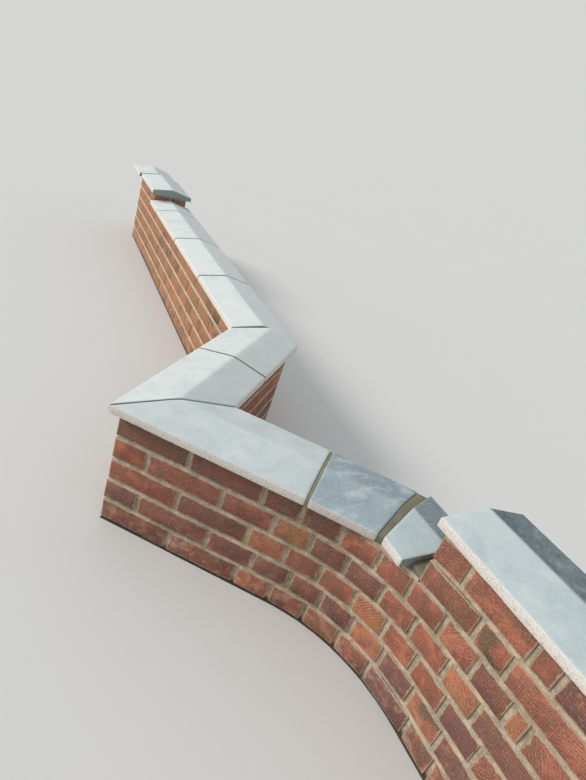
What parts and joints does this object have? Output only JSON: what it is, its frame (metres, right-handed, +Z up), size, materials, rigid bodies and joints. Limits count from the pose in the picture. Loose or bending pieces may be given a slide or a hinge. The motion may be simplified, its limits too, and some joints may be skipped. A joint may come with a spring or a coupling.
{
  "type": "brick garden wall",
  "caption": "Low brick boundary wall with a right-angled raised planter, a curved inner corner, raised ends and twice-weathered coping stones.",
  "frame": {"origin": "middle of the whole wall's plan, on the ground it stands on", "axes": "+X along the fence line from the far end to the near raised end, +Y into the wall towards the fence, +Z up"},
  "size_m": [5.038, 1.0176, 0.5849],
  "materials": {
    "brickwork": "drag-faced red-brown stock brick, laid in buff mortar",
    "mortar": "buff cement mortar, struck slightly back",
    "coping": "pale blue-grey cast stone, fine matt grain",
    "joint_mortar": "dark grey-green weathered pointing"
  },
  "bodies": {
    "root": {"far_run_wall": "brickwork", "far_raised_course": "brickwork", "return_wall": "brickwork", "front_wall": "brickwork", "curved_wall": "brickwork", "near_run_wall": "brickwork", "near_raised_curve": "brickwork", "near_raised_wall": "brickwork", "far_raised_bed": "mortar", "far_run_bed": "mortar", "return_bed": "mortar", "front_bed": "mortar", "curved_bed": "mortar", "near_raised_curve_bed": "mortar", "near_raised_bed": "mortar", "far_run_coping_1": "coping", "far_run_coping_2": "coping", "far_run_coping_3": "coping", "far_run_cut_coping": "coping", "far_raised_coping_1": "coping", "far_raised_coping_2": "coping", "return_nose_coping": "coping", "return_inner_coping": "coping", "front_nose_coping": "coping", "front_turned_coping": "coping", "near_cut_coping": "coping", "near_raised_coping_1": "coping", "near_raised_coping_2": "coping", "far_run_coping_joints": "joint_mortar", "far_raised_coping_joint": "joint_mortar", "return_coping_joint": "joint_mortar", "nose_coping_joint": "joint_mortar", "front_coping_joint": "joint_mortar", "front_wedge_joint": "joint_mortar", "near_cut_joint": "joint_mortar", "near_raised_coping_joint": "joint_mortar"}
  },
  "joints": []
}
